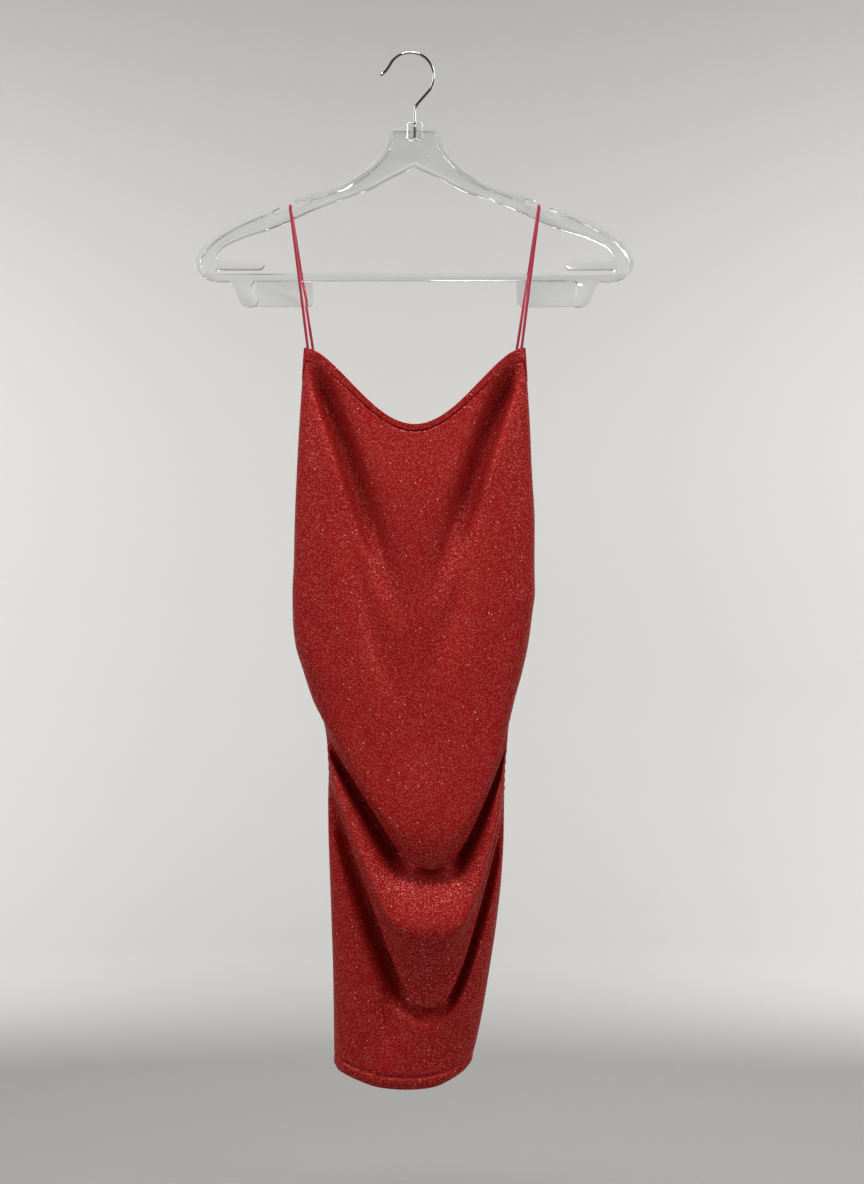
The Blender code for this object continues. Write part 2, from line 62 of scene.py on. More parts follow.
# The tube's outline from the front, where its two side seams run
Side = namedtuple("Side", "below left right")
SIDES = (
    Side(285, -102.5, 111.0),
    Side(313, -105.2, 113.6),
    Side(360, -108.6, 116.8),
    Side(410, -111.3, 119.0),
    Side(460, -113.3, 121.6),
    Side(500, -114.2, 121.4),
    Side(526, -115.4, 121.8),
    Side(550, -115.2, 119.0),
    Side(575, -113.0, 115.7),
    Side(605, -104.4, 109.2),
    Side(632, -95.2, 101.6),
    Side(656, -84.2, 96.4),
    Side(678, -81.4, 94.4),
    Side(700, -80.0, 92.4),
    Side(730, -80.7, 91.6),
    Side(760, -80.4, 91.4),
    Side(800, -79.0, 89.4),
    Side(846, -77.4, 84.6),
    Side(896, -75.8, 77.2),
    Side(946, -75.0, 68.6),
    Side(991, -74.6, 58.2),
)
SIDE_FULLNESS = 0.7

# Top edges, from corner to corner of the neck and round the armholes to the side seams
Edge = namedtuple("Edge", "corner_angle corner middle seam")
FRONT_EDGE = Edge(80.0, 289.0, 365.5, 313.0)
FRONT_BAND = Edge(74.0, 302.0, 371.5, 321.5)
BACK_EDGE = Edge(69.0, 296.0, 376.0, 313.0)
BACK_BAND = Edge(63.0, 306.5, 382.5, 321.5)
BAND_STEPS = 2
NECK_OUT = {"front": 34.0, "back": 22.0}

# Rows of cloth below the bands: heights at the side seams and the middle, the middle's place
# across, how level and how round the row is, how far it stands out, how much of that is tucked
# in, and how many steps lead down to it
Row = namedtuple(
    "Row", "name left right middle across flat bowl out tuck_side tuck_middle steps"
)
FRONT_ROWS = (
    Row("bust", 366, 366, 428, 5, 0.20, 1.00, 40, 0.00, 0.00, 6),
    Row("waist", 455, 455, 538, 7, 0.20, 0.80, 46, 0.00, 0.00, 6),
    Row("hip", 570, 566, 662, 12, 0.22, 0.45, 56, 0.00, 0.00, 4),
    Row("upper swag crest", 650, 644, 757, 19, 0.36, 0.00, 69, 0.00, 0.00, 4),
    Row("upper swag lip", 655, 649, 790, 20, 0.20, 0.00, 63, 0.12, 0.06, 2),
    Row("upper swag tuck", 672, 664, 790, 20, 0.30, 0.00, 60, 0.58, 0.26, 2),
    Row("lower swag face", 684, 692, 814, 19, 0.38, 0.00, 64, 0.10, 0.08, 2),
    Row("lower swag crest", 697, 716, 850, 19, 0.42, 0.00, 72, 0.00, 0.00, 2),
    Row("lower swag lip", 701, 720, 923, 19, 0.20, 0.00, 52, 0.06, 0.02, 3),
    Row("lower swag tuck", 730, 752, 926, 18, 0.30, 0.00, 50, 0.52, 0.24, 2),
    Row("skirt", 800, 812, 946, 12, 0.42, 0.30, 47, 0.04, 0.02, 3),
    Row("hem line", 978, 976, 991.5, -2, 0.48, 0.30, 45, 0.00, 0.00, 4),
    Row("hem", 990.5, 988.5, 1004, -3, 0.48, 0.30, 44, 0.00, 0.00, 1),
)
BACK_ROWS = (
    Row("shoulder blade", 380, 380, 432, 5, 0.20, 1.00, 26, 0.00, 0.00, 3),
    Row("back waist", 470, 470, 512, 5, 0.20, 1.00, 30, 0.06, 0.10, 3),
    Row("seat", 590, 586, 640, 5, 0.20, 1.00, 35, 0.00, 0.00, 3),
    Row("upper back crest", 652, 646, 716, 7, 0.25, 0.60, 36, 0.00, 0.00, 2),
    Row("upper back tuck", 670, 664, 730, 7, 0.25, 0.60, 34, 0.30, 0.16, 2),
    Row("lower back crest", 698, 718, 786, 6, 0.25, 0.60, 35, 0.00, 0.00, 2),
    Row("lower back tuck", 728, 742, 800, 6, 0.25, 0.60, 33, 0.30, 0.16, 2),
    Row("back skirt", 800, 804, 862, 4, 0.25, 1.00, 32, 0.00, 0.00, 2),
    Row("back hem line", 978, 976, 984, -5, 0.20, 1.00, 30, 0.00, 0.00, 4),
    Row("back hem", 990.5, 988.5, 996, -6, 0.20, 1.00, 30, 0.00, 0.00, 1),
)
# The rows that the columns of points are spread evenly along
HIP_ROW = {"front": "hip", "back": "seat"}

# Soft valleys that run in from the strap corners, seen from the front. core and core_width are
# the sharper fold at the bottom of each, which is too fine for the solids.
Valley = namedtuple("Valley", "top_x top low_x low depth top_width low_width core core_width")
VALLEYS = {
    "front": (
        Valley(-97, 296, -12, 575, 15.0, 9.0, 16.0, 10.0, 7.5),
        Valley(104, 296, 24, 555, 16.0, 9.0, 15.0, 11.0, 8.0),
        Valley(3, 560, 6, 740, 3.0, 12.0, 18.0, 0.0, 9.0),
        Valley(-24, 900, -18, 990, 4.0, 10.0, 12.0, 1.0, 7.0),
    ),
    "back": (
        Valley(-88, 305, -22, 540, 7.0, 8.0, 15.0, 2.5, 5.0),
        Valley(98, 305, 34, 530, 6.0, 8.0, 15.0, 2.0, 5.0),
    ),
}
VALLEY_BEND = 1.25

# Creases too fine for the solids, each a soft trough, or a ridge where its depth is negative.
# bow says how far the line swings out of straight.
Crease = namedtuple("Crease", "from_x from_below to_x to_below bow depth width")
CREASES = {
    "front": (
        Crease(-72, 400, -8, 650, -5, 6.0, 15.0),
        Crease(74, 400, 22, 625, 5, 6.0, 15.0),
        Crease(-52, 470, -14, 640, -5, 2.0, 8.0),
        Crease(52, 460, 24, 600, 5, 2.0, 8.0),
        Crease(-101, 305, -92, 420, 3, 0.8, 5.0),
        Crease(110, 305, 104, 410, -3, 0.8, 5.0),
        Crease(-30, 395, -14, 520, 4, -0.9, 12.0),
        Crease(44, 395, 24, 520, -4, -0.9, 12.0),
        Crease(-70, 600, -30, 700, -5, 0.8, 8.0),
        Crease(84, 600, 48, 700, 5, 0.8, 8.0),
        Crease(-110, 540, -70, 600, 6, 0.9, 7.0),
        Crease(116, 540, 80, 598, -6, 0.9, 7.0),
        Crease(-74, 700, -52, 772, 3, 0.9, 5.0),
        Crease(86, 700, 64, 776, -3, 0.8, 5.0),
        Crease(-70, 800, -52, 900, -4, 1.1, 7.0),
        Crease(-8, 948, -4, 1004, 2, -1.2, 9.0),
        Crease(40, 930, 30, 1004, -3, 1.2, 10.0),
        Crease(-60, 900, -52, 1000, 3, -0.8, 9.0),
    ),
    "back": (
        Crease(-10, 420, 0, 600, 5, 1.0, 12.0),
        Crease(44, 500, 30, 640, -5, 0.9, 10.0),
        Crease(-70, 600, -30, 690, -6, 1.0, 8.0),
        Crease(82, 600, 48, 690, 6, 1.0, 8.0),
        Crease(-72, 690, -40, 770, -6, 1.1, 6.0),
        Crease(84, 700, 52, 776, 6, 1.1, 6.0),
        Crease(-40, 820, -34, 990, 4, 1.2, 10.0),
        Crease(28, 840, 24, 990, -4, 1.0, 10.0),
    ),
}

# Heights between which the side seams are gathered, and how far apart and deep the puckers are
GATHERS = (640, 770)
GATHER_SPACING = 9.0
GATHER_DEPTH = 0.7
# How far the side seams draw the cloth in, and over how many radians beside them
SEAM_PINCH = (0.8, 0.011)

# The rows between which the lower swag's face turns under, and how far it draws in there
UNDERSIDE_ROWS = {
    "front": ("lower swag crest", "lower swag lip"),
    "back": ("lower back crest", "lower back tuck"),
}
UNDERSIDE_DEPTH = {"front": 5.5, "back": 2.0}

# Each swag's edge turns over its tuck more sharply than in the solids. lip and tuck are rows, out
# is how much further the lip stands out, and deep how much further the tuck draws in.
Fold = namedtuple("Fold", "lip tuck out deep")
FOLDS = {
    "front": (
        Fold("upper swag lip", "upper swag tuck", 4.5, 9.0),
        Fold("lower swag lip", "lower swag tuck", 4.0, 10.0),
    ),
    "back": (
        Fold("upper back crest", "upper back tuck", 1.0, 1.5),
        Fold("lower back crest", "lower back tuck", 1.0, 1.5),
    ),
}
# Widths of a lip and a tuck, and how far above its row the tuck lies, in levels
LIP_WIDTH = 0.65
TUCK_WIDTH = 0.95
TUCK_LIFT = 0.3

# Depth and width of the groove beside the neck's band, of the hem's stitching at the side seams
# and of the turn of the hem's edge. Creases fade out NECK_FADE from the band, the cloth lies
# UNDER_BAND behind it, and the hem's double cloth stands out by DOUBLE_OUT.
NECK_GROOVE = (1.1, 1.5)
HEM_STITCHING = (0.3, 1.9)
HEM_TURN = (2.5, 8.0)
NECK_FADE = 6.0
UNDER_BAND = 0.25
DOUBLE_OUT = 0.3

# The wire hook, its swollen tip, the clear block round its stem, the strap slots' floors and
# the rounding of the clear plastic's edges
HANGER_X = 4.2
HANGER_DEPTH = 8.0
HOOK_WIRE = 2.8
HOOK_INSIDE_RADIUS = 21.5
HOOK_STEM_END = 83.0
HOOK_TIP_RADII = (1.45, 1.6, 1.75, 1.8)
SOCKET_BLOCK = (15.6, 9.6, 17.2)
SOCKET_BELOW = 75.9
SLOT_FLOOR = ((107.4, 146.2), (137.4, 158.2))
SLOT_SLOPE = 22.0
MOULD_RADIUS = 0.8
SOCKET_RADIUS = 1.4
MOULD_CORNER = 40.0

# The yoke's hollow: the height of its top in the solid, three places across its outline there,
# and the places across and below that those are carried up to
HOLLOW_TOP = 88.0
HOLLOW_ACROSS = (0.0, 17.0, 22.5)
RAISED_ACROSS = (0.0, 20.8, 22.5)
RAISED_BELOW = (76.8, 76.8, 92.0)

# The strap cords, and how far in from the neck's corners they are sewn, in degrees round the tube
STRAP = 3.0
STRAP_SPUN = 0.93
STRAP_OUT = 121.5
STRAP_GAP = 0.3
STRAP_SEAT_INSET = {"front": 8.0, "back": 4.0}
STRAP_INTO_BAND = 5.0
CORD_FACETS = 8
BAND_CLOTH = 2.0

# The rounding of the bands' turned edges, and the least angle that is rounded
BAND_RADIUS = 0.6
BAND_CORNER = 55.0

# Sizes of the finishes' patterns, in metres. The knit's loops, the satin's ribs and the paper's
# tooth are under 1 mm on the real things, and are drawn two or three times coarser to show at all.
KNIT_LOOP = 0.0017
FLECK_CLUSTER = 0.011
RIB_SPACING = 0.0024166
MOULD_RIPPLE = 0.014
WEAR_SPOT = 0.004
PAPER_TOOTH = 0.0025

# The studio, in metres: how far the paper lies flat, the radius of its roll, heights up the
# backdrop, and each light's setting, place, aim and size
PAPER_REACH = 2.2
PAPER_ROLL = 1.0
BACKDROP_HEIGHTS = (0.6, 1.6, 2.6)
AIM = (0.0, 0.0, -0.6)
Softbox = namedtuple("Softbox", "name setting place aim size")
SOFTBOXES = (
    Softbox("left softbox", "side_light", (-1.8, -0.88, 0.8), AIM, (0.8, 1.1)),
    Softbox("left wall light", "wall_light", (-1.15, 1.2, 0.0), (-1.4, 3.1, -0.25), (0.8, 0.9)),
    Softbox("right softbox", "side_light", (1.8, -0.88, 0.8), AIM, (0.8, 1.1)),
    Softbox("right wall light", "wall_light", (1.15, 1.2, 0.0), (1.4, 3.1, -0.25), (0.8, 0.9)),
    Softbox("top softbox", "top_light", (0.0, -0.9, 1.5), AIM, (0.8, 0.5)),
    Softbox("back softbox", "back_light", (0.9, 2.0, 0.7), AIM, (0.8, 1.0)),
)
AIR_COLOUR = (0.95, 0.97, 1.0, 1.0)
AIR_STRENGTH = 0.04

# The camera stands level in front of the object
CAMERA_PLACE = (0.02107, -1.8, -0.5272)
SENSOR = 36.0
IMAGE_LONG_SIDE = 1184
METRES_PER_PIXEL = 0.00098


class DressSizes(bpy.types.PropertyGroup):
    cloth: bpy.props.FloatProperty(
        name="Cloth", description="Thickness of the knit", default=0.0009, unit="LENGTH"
    )
    turned_cloth: bpy.props.FloatProperty(
        name="Turned cloth",
        description="Thickness of a hem or band, where the knit lies double",
        default=0.0019,
        unit="LENGTH",
    )
    band_stand: bpy.props.FloatProperty(
        name="Band stand",
        description="How far the neck and armhole bands stand out of the panels",
        default=0.0004,
        unit="LENGTH",
    )
    hem_depth: bpy.props.FloatProperty(
        name="Hem depth",
        description="Height of the turned-up hem",
        default=0.0125,
        unit="LENGTH",
    )
    crease_strength: bpy.props.FloatProperty(
        name="Crease strength",
        description="Share of the creases' depths that is used",
        default=1.0,
        subtype="FACTOR",
    )


class DressFinish(bpy.types.PropertyGroup):
    ground: bpy.props.StringProperty(
        name="Knit", description="sRGB hex colour of the knit's ground", default="#980A08"
    )
    fleck: bpy.props.StringProperty(
        name="Fleck", description="sRGB hex colour of the metal yarn's flecks", default="#CB5248"
    )
    # The painted glints: bright pale spots painted into the knit's colour as the metal yarn's glints
    painted_glint: bpy.props.StringProperty(
        name="Painted_glint", description="sRGB hex colour of the brightest flecks", default="#F6C3B2"
    )
    fleck_size: bpy.props.FloatProperty(
        name="Fleck size",
        description="Distance between two flecks of the metal yarn",
        default=0.0013,
        unit="LENGTH",
    )
    satin: bpy.props.StringProperty(
        name="Satin", description="sRGB hex colour of the strap cords", default="#9B1830"
    )
    satin_rib: bpy.props.StringProperty(
        name="Satin rib", description="sRGB hex colour of the cords' raised ribs", default="#AC2B40"
    )
    plastic: bpy.props.StringProperty(
        name="Plastic", description="sRGB hex colour of the clear hanger", default="#FCFDFD"
    )
    chrome: bpy.props.StringProperty(
        name="Chrome", description="sRGB hex colour of the plated wire", default="#B9BABD"
    )


class StudioSettings(bpy.types.PropertyGroup):
    floor_drop: bpy.props.FloatProperty(
        name="Floor drop",
        description="How far the floor lies below the hook",
        default=1.28,
        unit="LENGTH",
    )
    paper: bpy.props.StringProperty(
        name="Paper", description="sRGB hex colour of the floor and backdrop", default="#ADACAA"
    )
    # Painted shade: a darker grey on the paper's front half, standing in for the unlit front of the
    # room
    front_room_shade: bpy.props.StringProperty(
        name="Front_room_shade", description="sRGB hex colour of the room's front half", default="#747372"
    )
    side_light: bpy.props.FloatProperty(
        name="Side light", description="Watts of each side softbox", default=21.0
    )
    top_light: bpy.props.FloatProperty(
        name="Top light", description="Watts of the softbox above the front", default=40.0
    )
    back_light: bpy.props.FloatProperty(
        name="Back light", description="Watts of the softbox behind the dress", default=14.0
    )
    wall_light: bpy.props.FloatProperty(
        name="Wall light", description="Watts of each light on the backdrop", default=38.0
    )


def linear_colour(text):
    """A hex sRGB colour as linear red, green, blue and alpha."""
    values = [int(text[start : start + 2], 16) / 255 for start in (1, 3, 5)]
    return (*[v / 12.92 if v <= 0.04045 else ((v + 0.055) / 1.055) ** 2.4 for v in values], 1.0)


def add_node(tree, kind, settings=None, links=None):
    """Adds a shader node, sets its properties and input values, and links sockets to its inputs."""
    node = tree.nodes.new("ShaderNode" + kind)
    for name, value in (settings or {}).items():
        if isinstance(name, str) and hasattr(node, name):
            setattr(node, name, value)
        else:
            node.inputs[name].default_value = value
    for name, source in (links or {}).items():
        tree.links.new(source, node.inputs[name])
    return node


def new_material(name, settings):
    """A material of that name with its shader's constant values set, and the link that gives a
    pattern the object's own coordinates in metres."""
    material = bpy.data.materials.new(name)
    material.use_nodes = True
    tree = material.node_tree
    shader = tree.nodes["Principled BSDF"]
    for socket, value in settings.items():
        shader.inputs[socket].default_value = value
    return material, tree, shader, {"Vector": add_node(tree, "TexCoord").outputs["Object"]}


def ramp(tree, source, low, high, start=0.0, end=1.0):
    """The source's values from low to high, stretched to run from start to end and held there."""
    span = {"From Min": low, "From Max": high, "To Min": start, "To Max": end}
    return add_node(tree, "MapRange", span, {"Value": source}).outputs[0]


def product(tree, first, second):
    """One source's values times the other's."""
    return add_node(tree, "Math", {"operation": "MULTIPLY"}, {0: first, 1: second}).outputs[0]


def blend(tree, share, first, second):
    """A colour between the first, a hex text or a source, and the second, a hex text."""
    settings = {"data_type": "RGBA", 7: linear_colour(second)}
    links = {0: share}
    if isinstance(first, str):
        settings[6] = linear_colour(first)
    else:
        links[6] = first
    return add_node(tree, "Mix", settings, links).outputs[2]


def add_relief(tree, shader, height, strength, depth):
    """Shades the surface as if the pattern were a relief of that depth in metres."""
    relief = add_node(tree, "Bump", {"Strength": strength, "Distance": depth}, {"Height": height})
    tree.links.new(relief.outputs[0], shader.inputs["Normal"])


def glitter_knit():
    """Stretch jersey with a metal yarn knitted in: a deep red ground full of fine pink flecks, a
    few painted glints, bright pale spots that stand in for the yarn catching the light, and a
    soft lighter bloom where the cloth turns away."""
    finish = bpy.context.scene.dress_finish
    sheen = {"Sheen Weight": 0.14, "Sheen Roughness": 0.3, "Sheen Tint": linear_colour("#FF8A78")}
    material, tree, shader, place = new_material("glitter knit jersey", sheen)

    # About half of the cells hold a fleck, and the flecks lie a little thinner in some places
    cells = add_node(tree, "TexVoronoi", {"Scale": 1 / finish.fleck_size}, place)
    chance = add_node(tree, "SeparateColor", {}, {"Color": cells.outputs["Color"]})
    chosen = ramp(tree, chance.outputs["Red"], 0.28, 0.62)
    dot = ramp(tree, cells.outputs["Distance"], 0.54, 0.28)
    cluster = add_node(tree, "TexNoise", {"Scale": 1 / FLECK_CLUSTER, "Detail": 2.0}, place)
    density = ramp(tree, cluster.outputs["Fac"], 0.35, 0.65, 0.86, 1.0)
    flecks = product(tree, product(tree, chosen, dot), density)

    # Painted glints: a few larger cells, about one in forty, hold a small bright pale spot painted
    # into the colour, standing in for the metal yarn catching the light
    glints = add_node(tree, "TexVoronoi", {"Scale": 1 / (finish.fleck_size * 1.5)}, place)
    luck = add_node(tree, "SeparateColor", {}, {"Color": glints.outputs["Color"]})
    lucky = ramp(tree, luck.outputs["Green"], 0.962, 0.985)
    painted_glints = product(tree, lucky, ramp(tree, glints.outputs["Distance"], 0.36, 0.15))

    flecked = blend(tree, flecks, finish.ground, finish.fleck)
    tree.links.new(blend(tree, painted_glints, flecked, finish.painted_glint), shader.inputs["Base Color"])
    # The flecks are metal and glossy, the ground is dull fibre
    for socket, ground, fleck in (
        ("Roughness", 0.70, 0.38),
        ("Specular IOR Level", 0.15, 1.0),
        ("Metallic", 0.0, 0.55),
    ):
        tree.links.new(ramp(tree, flecks, 0.0, 1.0, ground, fleck), shader.inputs[socket])
    loops = add_node(tree, "TexNoise", {"Scale": 1 / KNIT_LOOP, "Detail": 1.0}, place)
    add_relief(tree, shader, loops.outputs["Fac"], 0.7, 0.0007)
    return material


def satin_rouleau():
    """Satin turned into a thin cord: a crimson with a soft long shine and fine slanting ribs."""
    finish = bpy.context.scene.dress_finish
    soft_shine = {
        "Roughness": 0.42,
        "Specular IOR Level": 0.35,
        "Sheen Weight": 0.1,
        "Sheen Tint": linear_colour("#FFC2C8"),
    }
    material, tree, shader, place = new_material("satin rouleau cord", soft_shine)
    # A diagonal wave repeats every 2 pi / (10 x Scale) along each axis
    scale = 2 * math.pi / (10 * RIB_SPACING)
    slanting = {"bands_direction": "DIAGONAL", "Scale": scale, "Distortion": 1.0}
    ribs = add_node(tree, "TexWave", slanting, place).outputs["Fac"]
    shade = blend(tree, ribs, finish.satin, finish.satin_rib)
    tree.links.new(shade, shader.inputs["Base Color"])
    add_relief(tree, shader, ribs, 0.3, 0.0002)
    return material


def clear_polystyrene():
    """Clear polystyrene, injection moulded: glassy, with the faint ripple of its mould."""
    finish = bpy.context.scene.dress_finish
    glassy = {
        "Base Color": linear_colour(finish.plastic),
        "Roughness": 0.05,
        "Transmission Weight": 1.0,
        "IOR": 1.59,
    }
    material, tree, shader, place = new_material("clear moulded polystyrene", glassy)
    ripple = add_node(tree, "TexNoise", {"Scale": 1 / MOULD_RIPPLE, "Detail": 1.0}, place)
    add_relief(tree, shader, ripple.outputs["Fac"], 0.08, 0.001)
    return material


def bright_chrome():
    """Nickel and chrome plate on drawn wire: a mirror with the faintest haze of wear."""
    finish = bpy.context.scene.dress_finish
    plated = {"Base Color": linear_colour(finish.chrome), "Metallic": 1.0}
    material, tree, shader, place = new_material("bright chrome plate", plated)
    wear = add_node(tree, "TexNoise", {"Scale": 1 / WEAR_SPOT, "Detail": 3.0}, place)
    haze = ramp(tree, wear.outputs["Fac"], 0.0, 1.0, 0.05, 0.16)
    tree.links.new(haze, shader.inputs["Roughness"])
    return material


def studio_paper():
    """Matte pale paper, rolled from the floor up into the backdrop, with a darker grey painted round
    the front half of the room above the floor: painted shade for the dim, unlit front of the room,
    so that folds and plastic edges stay dark."""
    studio = bpy.context.scene.studio_settings
    material, tree, shader, place = new_material("matte studio paper", {"Roughness": 0.9})
    along = add_node(tree, "SeparateXYZ", {}, place)
    # Painted shade: the paper turns darker grey toward the front and up off the floor, standing in
    # for the unlit front of the room
    forward = ramp(tree, along.outputs["Y"], 0.6, -1.0)
    upward = ramp(tree, along.outputs["Z"], -1.27, -0.9)
    shade = blend(tree, product(tree, forward, upward), studio.paper, studio.front_room_shade)
    tree.links.new(shade, shader.inputs["Base Color"])
    tooth = add_node(tree, "TexNoise", {"Scale": 1 / PAPER_TOOTH}, place)
    add_relief(tree, shader, tooth.outputs["Fac"], 0.04, 0.001)
    return material


def the_material(name, maker):
    """The material of that name, made the first time that it is asked for."""
    return bpy.data.materials.get(name) or maker()


def smooth_between(knots, values, at):
    """The values at each place in at, on a smooth curve through the knots with no overshoot."""
    values = np.asarray(values, float)
    across = (-1,) + (1,) * (values.ndim - 1)
    span = np.diff(np.asarray(knots, float)).reshape(across)
    slope = np.diff(values, axis=0) / span
    tangent = np.zeros_like(values)
    tangent[0] = slope[0]
    tangent[-1] = slope[-1]
    before, after = slope[:-1], slope[1:]
    agree = before * after > 0
    weight_before = 2 * span[1:] + span[:-1]
    weight_after = span[1:] + 2 * span[:-1]
    mean = weight_before / np.where(agree, before, 1) + weight_after / np.where(agree, after, 1)
    tangent[1:-1] = np.where(agree, (weight_before + weight_after) / np.where(agree, mean, 1), 0)
    low = np.clip(np.searchsorted(knots, at, side="right") - 1, 0, len(span) - 1)
    width = span[low]
    t = (np.asarray(at, float) - np.asarray(knots, float)[low]).reshape(across) / width
    return (
        (1 + 2 * t) * (1 - t) ** 2 * values[low]
        + t * (1 - t) ** 2 * width * tangent[low]
        + t**2 * (3 - 2 * t) * values[low + 1]
        + t**2 * (t - 1) * width * tangent[low + 1]
    )


def ease(low, high, value):
    """0 below low, 1 above high and a soft step between them."""
    t = np.clip((value - low) / (high - low), 0, 1)
    return t * t * (3 - 2 * t)


def beside(off, width):
    """1 on a line, fading softly to 0 on both sides of it."""
    return np.exp(-((off / width) ** 2))


def side_at(below, column):
    """How far across the tube's left or right outline runs at each height."""
    heights = [side.below for side in SIDES]
    widths = [getattr(side, column) for side in SIDES]
    return smooth_between(heights, widths, np.clip(below, heights[0], heights[-1]))


def bowl_profile(share):
    """How far down a bowl-shaped row has sunk: 1 in the middle and 0 at its ends."""
    return ((1 + np.cos(math.pi * np.clip(share, 0, 1))) / 2) ** 0.8


def vee_profile(share, flat):
    """The same for a vee with a level bottom, its corners rounded."""
    softness = 0.13

    def rise(t):
        return ((t - flat) + np.sqrt((t - flat) ** 2 + softness**2)) / 2

    return 1 - (rise(share) - rise(0.0)) / (rise(1.0) - rise(0.0))


def edge_heights(edge, angles):
    """Heights along a top edge: the neck between its corners, then the armholes."""
    corner = math.radians(edge.corner_angle)
    neck = edge.corner + (edge.middle - edge.corner) * bowl_profile(
        np.sin(np.abs(angles)) / math.sin(corner)
    )
    past = np.clip((np.abs(angles) - corner) / (QUARTER - corner), 0, 1)
    armhole = edge.corner + (edge.seam - edge.corner) * past**0.8
    return np.where(np.abs(angles) > corner, armhole, neck)


def row_heights(row, angles):
    """Heights along a row, from one side seam down to the middle and up to the other."""
    share = np.abs(np.sin(angles))
    profile = row.bowl * bowl_profile(share) + (1 - row.bowl) * vee_profile(share, row.flat)
    seam = row.left + (row.right - row.left) * (np.sin(angles) + 1) / 2
    return seam + (row.middle - seam) * profile


def row_reach(row, angles):
    """How far a row stands out from the plane of the side seams."""
    middle = 1 - ease(0.15, 0.45, np.abs(np.sin(angles)))
    tuck = row.tuck_side + (row.tuck_middle - row.tuck_side) * middle
    return row.out * np.cos(angles) ** SIDE_FULLNESS * (1 - tuck)


def valleys_at(side, across, below):
    """Each valley of that side, how far down it each place is, and how far off its line."""
    for valley in VALLEYS[side]:
        down = np.clip((below - valley.top) / (valley.low - valley.top), 0, 1)
        line = valley.low_x + (valley.top_x - valley.low_x) * (1 - down) ** VALLEY_BEND
        yield valley, down, across - line


def valley_depth(side, across, below):
    """How far the soft valleys press the cloth in at each place."""
    total = np.zeros_like(across)
    for valley, down, off in valleys_at(side, across, below):
        width = valley.top_width + (valley.low_width - valley.top_width) * down
        depth = valley.depth * ease(-0.12, 0.32, down) * (1 - ease(0.55, 1.0, down))
        total += depth * beside(off, width)
    return total


def core_depth(side, across, below):
    """How much deeper the sharp fold at the bottom of each valley goes."""
    total = np.zeros_like(across)
    for valley, down, off in valleys_at(side, across, below):
        depth = valley.core * ease(0.02, 0.16, down) * (1 - ease(0.2, 1.0, down))
        total += depth * beside(off, valley.core_width)
    return total


def crease_depth(side, across, below):
    """How far the fine creases press the cloth in at each place."""
    total = np.zeros_like(across)
    for crease in CREASES[side]:
        run = np.array([crease.to_x - crease.from_x, crease.to_below - crease.from_below])
        length = np.linalg.norm(run)
        along_x, along_below = run / length
        from_x, from_below = across - crease.from_x, below - crease.from_below
        along = (from_x * along_x + from_below * along_below) / length
        share = np.clip(along, 0, 1)
        off = from_x * along_below - from_below * along_x - crease.bow * np.sin(math.pi * share)
        fade = ease(-0.05, 0.3, along) * (1 - ease(0.6, 1.05, along))
        total += crease.depth * fade * beside(off, crease.width)
    return total


class Half:
    """The front or the back of the tube, as a surface over its rows and the angle round it."""

    def __init__(self, side):
        self.side = side
        self.facing = -1 if side == "front" else 1
        self.rows = FRONT_ROWS if side == "front" else BACK_ROWS
        self.edge = FRONT_EDGE if side == "front" else BACK_EDGE
        self.band = FRONT_BAND if side == "front" else BACK_BAND
        steps = [0, BAND_STEPS] + [row.steps for row in self.rows]
        self.knots = np.cumsum(steps)
        self.last = int(self.knots[-1])

    def column(self, name, edge_value, band_value):
        """One value of each row, after those of the top edge and of the band's lower edge."""
        return [edge_value, band_value] + [getattr(row, name) for row in self.rows]

    def level_of(self, name):
        """The level of the row of that name, which follows the top edge and the band's edge."""
        return self.knots[2 + [row.name for row in self.rows].index(name)]

    def points(self, levels, angles):
        """Millimetre positions, one row for each level and one column for each angle."""
        angles = np.asarray(angles, float)
        seams = (self.edge.seam, self.band.seam)
        heights = [edge_heights(self.edge, angles), edge_heights(self.band, angles)]
        heights += [row_heights(row, angles) for row in self.rows]
        reach = [NECK_OUT[self.side] * np.cos(angles) ** SIDE_FULLNESS] * 2
        reach += [row_reach(row, angles) for row in self.rows]
        below = smooth_between(self.knots, heights, levels)
        out = smooth_between(self.knots, reach, levels)
        left = side_at(smooth_between(self.knots, self.column("left", *seams), levels), "left")
        right = side_at(smooth_between(self.knots, self.column("right", *seams), levels), "right")
        lean = smooth_between(self.knots, self.column("across", 4.5, 4.5), levels)
        middle, half = (left + right) / 2, (right - left) / 2
        across = middle[:, None] + half[:, None] * np.sin(angles)
        across += (lean - middle)[:, None] * np.cos(angles) ** 2
        out = out - valley_depth(self.side, across, below) * np.minimum(1, np.cos(angles) * 3)
        return np.stack([across, self.facing * np.maximum(out, 0), -below], axis=2)

    def normals(self, levels, angles):
        """Unit directions out of the cloth at the same places."""
        levels, angles = np.asarray(levels, float), np.asarray(angles, float)
        step, turn = 0.02, 0.004
        lower = self.points(np.minimum(levels + step, self.last), angles)
        upper = self.points(np.maximum(levels - step, 0), angles)
        right = self.points(levels, np.minimum(angles + turn, QUARTER))
        left = self.points(levels, np.maximum(angles - turn, -QUARTER))
        out = np.cross(right - left, upper - lower) * -self.facing
        return out / np.linalg.norm(out, axis=2)[:, :, None]


FRONT = Half("front")
BACK = Half("back")


def even_steps(values, lengths, count):
    """count + 1 values, spread evenly along a line of which each stretch has its length."""
    reached = np.concatenate([[0], np.cumsum(lengths)])
    return np.interp(np.linspace(0, reached[-1], count + 1), reached, values)


